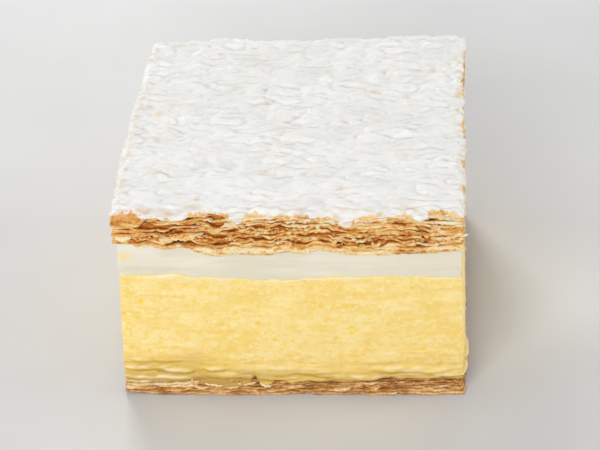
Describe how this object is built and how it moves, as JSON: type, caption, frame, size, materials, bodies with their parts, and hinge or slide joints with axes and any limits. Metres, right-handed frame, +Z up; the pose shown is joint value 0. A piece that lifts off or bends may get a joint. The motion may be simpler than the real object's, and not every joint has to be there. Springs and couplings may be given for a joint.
{
  "type": "mille feuille slice",
  "caption": "Square slice of puff pastry, thick vanilla custard and whipped cream under a flaky pastry lid dusted with icing sugar.",
  "frame": {"origin": "centre of the slice's footprint, on the face it rests on", "axes": "+Z up through the layers, -Y towards the shown front cut, +X along that cut to its right end"},
  "size_m": [0.078, 0.0776, 0.05],
  "materials": {
    "pressed_pastry": "moist pressed puff pastry, fine brown layers, matt",
    "vanilla_custard": "set vanilla custard, small air holes, soft satin",
    "whipped_cream": "whipped cream, off-white, smooth satin with faint knife marks",
    "flaky_pastry": "golden flaky puff pastry with browned edges, matt",
    "icing_sugar": "white dusted icing sugar, powdery, matt"
  },
  "bodies": {
    "root": {"bottom_pastry": "pressed_pastry", "custard": "vanilla_custard", "cream": "whipped_cream", "top_pastry": "flaky_pastry"}
  },
  "joints": []
}
